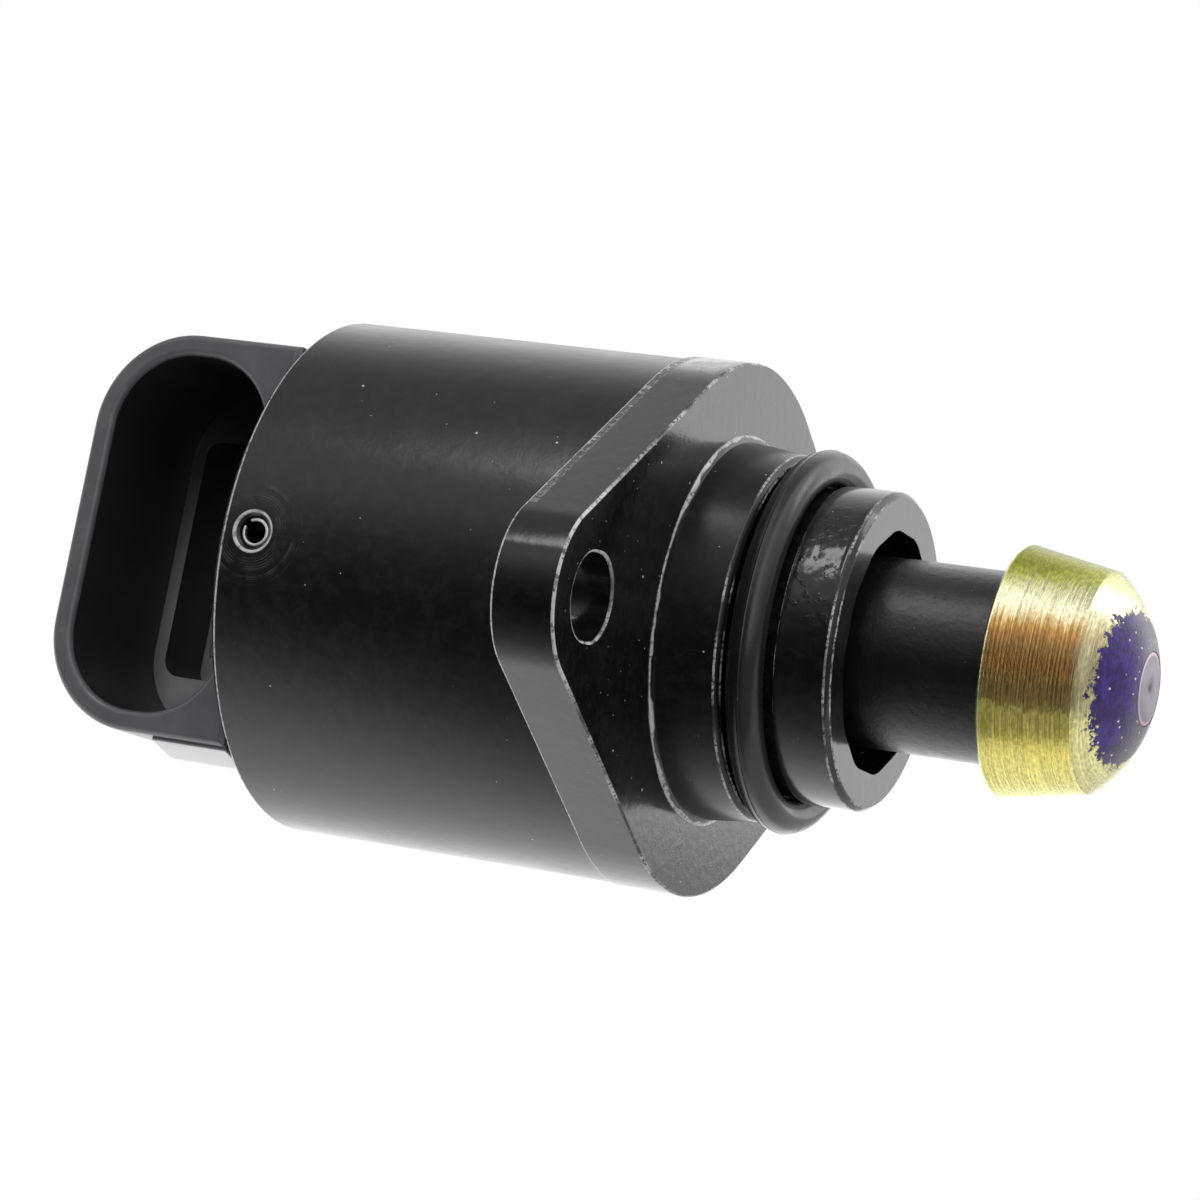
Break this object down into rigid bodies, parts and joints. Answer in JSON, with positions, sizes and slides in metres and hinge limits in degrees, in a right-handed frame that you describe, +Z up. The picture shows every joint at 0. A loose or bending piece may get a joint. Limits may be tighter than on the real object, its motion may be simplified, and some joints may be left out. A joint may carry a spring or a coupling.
{
  "type": "idle air control valve",
  "caption": "Stepper-motor idle air control valve: flanged barrel with a sideways plug socket, sealed nose and a screw-driven tapered pintle.",
  "frame": {"origin": "centre of the flange's mounting face, midway between the two bolt slots", "axes": "+X along the valve towards the pintle's tip, +Y along the line of the bolt slots (the plug socket opens towards -Y), +Z up"},
  "size_m": [0.0706, 0.056, 0.0346],
  "materials": {
    "black_coat": "black coated casting, semi-gloss",
    "seal_rubber": "satin",
    "cap_plastic": "matte moulded",
    "spring_steel": "bright",
    "tinned_brass": "tinned",
    "bush_bronze": "sintered",
    "plated_plate": "zinc plated",
    "former_plastic": "moulded",
    "enamelled_wire": "enamelled copper wire",
    "race_steel": "ground",
    "ball_steel": "polished",
    "cage_plastic": "moulded",
    "ferrite": "sintered ferrite",
    "hub_plastic": "moulded",
    "nut_brass": "turned",
    "screw_steel": "turned",
    "sleeve_black": "satin",
    "yellow_zinc": "yellow chromate over turned steel"
  },
  "bodies": {
    "valve_body": {"housing": "black_coat", "nose_seal": "seal_rubber", "connector_cap": "cap_plastic", "cap_seal": "seal_rubber", "roll_pins": "spring_steel", "terminal_1": "tinned_brass", "terminal_2": "tinned_brass", "terminal_3": "tinned_brass", "terminal_4": "tinned_brass", "contact_posts": "tinned_brass", "rear_bush": "bush_bronze", "rear_stator_cup": "plated_plate", "rear_coil_former": "former_plastic", "rear_coil": "enamelled_wire", "rear_pole_plate": "plated_plate", "front_pole_plate": "plated_plate", "front_coil_former": "former_plastic", "front_coil": "enamelled_wire", "front_stator_cup": "plated_plate", "bearing_outer_race": "race_steel", "wave_washer": "spring_steel", "thrust_washer": "hub_plastic"},
    "rotor": {"rotor_magnet": "ferrite", "rotor_hub": "hub_plastic", "rotor_nut": "nut_brass", "bearing_inner_race": "race_steel"},
    "bearing": {"bearing_cage": "cage_plastic", "bearing_balls": "ball_steel"},
    "plunger": {"lead_screw": "screw_steel", "plunger_sleeve": "sleeve_black", "pintle": "yellow_zinc"}
  },
  "joints": [
    {"name": "rotor_spin", "type": "hinge", "parent": "valve_body", "child": "rotor", "pos_m": [-0.015, 0, 0], "axis": [1, 0, 0], "range_deg": [-720, 2340]},
    {"name": "cage_spin", "type": "hinge", "parent": "valve_body", "child": "bearing", "pos_m": [-0.00675, 0, 0], "axis": [1, 0, 0], "range_deg": [-291, 946]},
    {"name": "plunger_slide", "type": "slide", "parent": "valve_body", "child": "plunger", "axis": [1, 0, 0], "range_m": [-0.0065, 0.002]}
  ],
  "couplings": [
    {"joint": "plunger_slide", "follows": "rotor_spin", "m_per_rad": -0.00015915},
    {"joint": "cage_spin", "follows": "rotor_spin", "ratio": 0.404}
  ]
}
